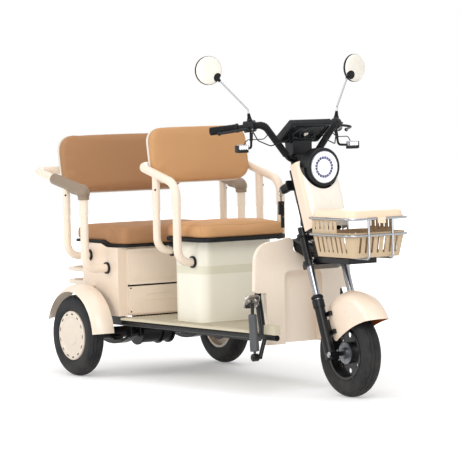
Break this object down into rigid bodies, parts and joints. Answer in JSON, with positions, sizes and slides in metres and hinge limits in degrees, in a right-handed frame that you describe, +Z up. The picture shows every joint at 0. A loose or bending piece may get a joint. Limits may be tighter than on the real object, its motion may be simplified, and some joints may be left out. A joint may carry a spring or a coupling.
{
  "type": "electric tricycle",
  "caption": "Open electric tricycle with a driver's seat, a two-place rear bench over a box, raked steering with leg shield and a lidded front basket.",
  "frame": {"origin": "on the floor under the centre of the whole tricycle", "axes": "+X forward, +Y to the rider's left, +Z up"},
  "size_m": [2.173, 0.9238, 1.4569],
  "materials": {
    "paint": "gloss peach paint",
    "ivory": "gloss ivory paint",
    "black_metal": "satin black paint",
    "chrome": "polished",
    "tyre_rubber": "matt",
    "rim_cream": "gloss cream paint",
    "hub_aluminium": "cast",
    "black_plastic": "grained",
    "cream_plastic": "gloss",
    "peach_plastic": "gloss",
    "beige_plastic": "satin",
    "floor_mat": "ribbed",
    "front_leather": "grained tan leatherette",
    "rear_leather": "grained tan leatherette",
    "pad_foam": "soft taupe",
    "lens": "clear",
    "red_lens": "gloss red",
    "mirror_face": "polished"
  },
  "bodies": {
    "chassis": {"frame": "black_metal", "rear_axle": "black_metal", "leaf_springs": "black_metal", "floor_board": "floor_mat", "legshield": "paint", "neck_cover": "black_plastic", "front_seat_box": "ivory", "battery_block": "black_plastic", "rear_box": "paint", "rear_box_panels": "paint", "front_backrest_shell": "cream_plastic", "front_backrest_cushion": "front_leather", "rear_backrest_shell": "cream_plastic", "rear_backrest_cushion": "rear_leather", "front_armrest_frame": "paint", "rear_armrest_frame": "paint", "armrest_collars": "black_plastic", "rear_arm_pads": "pad_foam", "rear_fenders": "paint", "tail_lamps": "red_lens", "rear_bumper": "paint", "brake_pedal": "black_metal"},
    "front_seat_lid": {"front_seat_base": "black_plastic", "front_seat_cushion": "front_leather"},
    "rear_seat_lid": {"rear_seat_base": "black_plastic", "rear_seat_cushion": "rear_leather"},
    "rear_wheel_right": {"rear_tyre_right": "tyre_rubber", "rear_rim_right": "rim_cream", "rear_hubcap_right": "rim_cream"},
    "rear_wheel_left": {"rear_tyre_left": "tyre_rubber", "rear_rim_left": "rim_cream", "rear_hubcap_left": "rim_cream"},
    "front_wheel": {"front_tyre": "tyre_rubber", "front_rim": "black_metal", "front_hub": "hub_aluminium"},
    "steering": {"fork_crown": "black_metal", "fork_stanchions": "chrome", "fork_sliders": "black_metal", "front_fender": "peach_plastic", "cowl": "cream_plastic", "stem_cover": "black_plastic", "headlight": "black_plastic", "headlight_lens": "lens", "handlebar": "black_metal", "grips": "black_plastic", "hand_controls": "black_plastic", "dash": "black_plastic", "control_cables": "black_plastic", "mirrors": "cream_plastic", "mirror_glasses": "mirror_face", "turn_signals": "black_plastic", "ignition_key": "black_metal", "basket_rack": "chrome", "basket_tub": "beige_plastic"},
    "basket_lid_body": {"basket_lid": "peach_plastic"}
  },
  "joints": [
    {"name": "steering_turn", "type": "hinge", "parent": "chassis", "child": "steering", "pos_m": [0.66496, 0, 0.554], "axis": [-0.342, 0, 0.9397], "range_deg": [-40, 40]},
    {"name": "front_wheel_spin", "type": "hinge", "parent": "steering", "child": "front_wheel", "pos_m": [0.85, 0, 0.188], "axis": [0, 1, 0], "continuous": true},
    {"name": "rear_wheel_right_spin", "type": "hinge", "parent": "chassis", "child": "rear_wheel_right", "pos_m": [-0.722, 0, 0.188], "axis": [0, 1, 0], "continuous": true},
    {"name": "rear_wheel_left_spin", "type": "hinge", "parent": "chassis", "child": "rear_wheel_left", "pos_m": [-0.722, 0, 0.188], "axis": [0, 1, 0], "continuous": true},
    {"name": "front_seat_hinge", "type": "hinge", "parent": "chassis", "child": "front_seat_lid", "pos_m": [-0.239, 0, 0.6295], "axis": [0, -1, 0], "range_deg": [0, 65]},
    {"name": "rear_seat_hinge", "type": "hinge", "parent": "chassis", "child": "rear_seat_lid", "pos_m": [-0.854, 0, 0.6045], "axis": [0, -1, 0], "range_deg": [0, 60]},
    {"name": "basket_lid_hinge", "type": "hinge", "parent": "steering", "child": "basket_lid_body", "pos_m": [0.764, 0, 0.765], "axis": [0, -1, 0], "range_deg": [0, 70]}
  ]
}
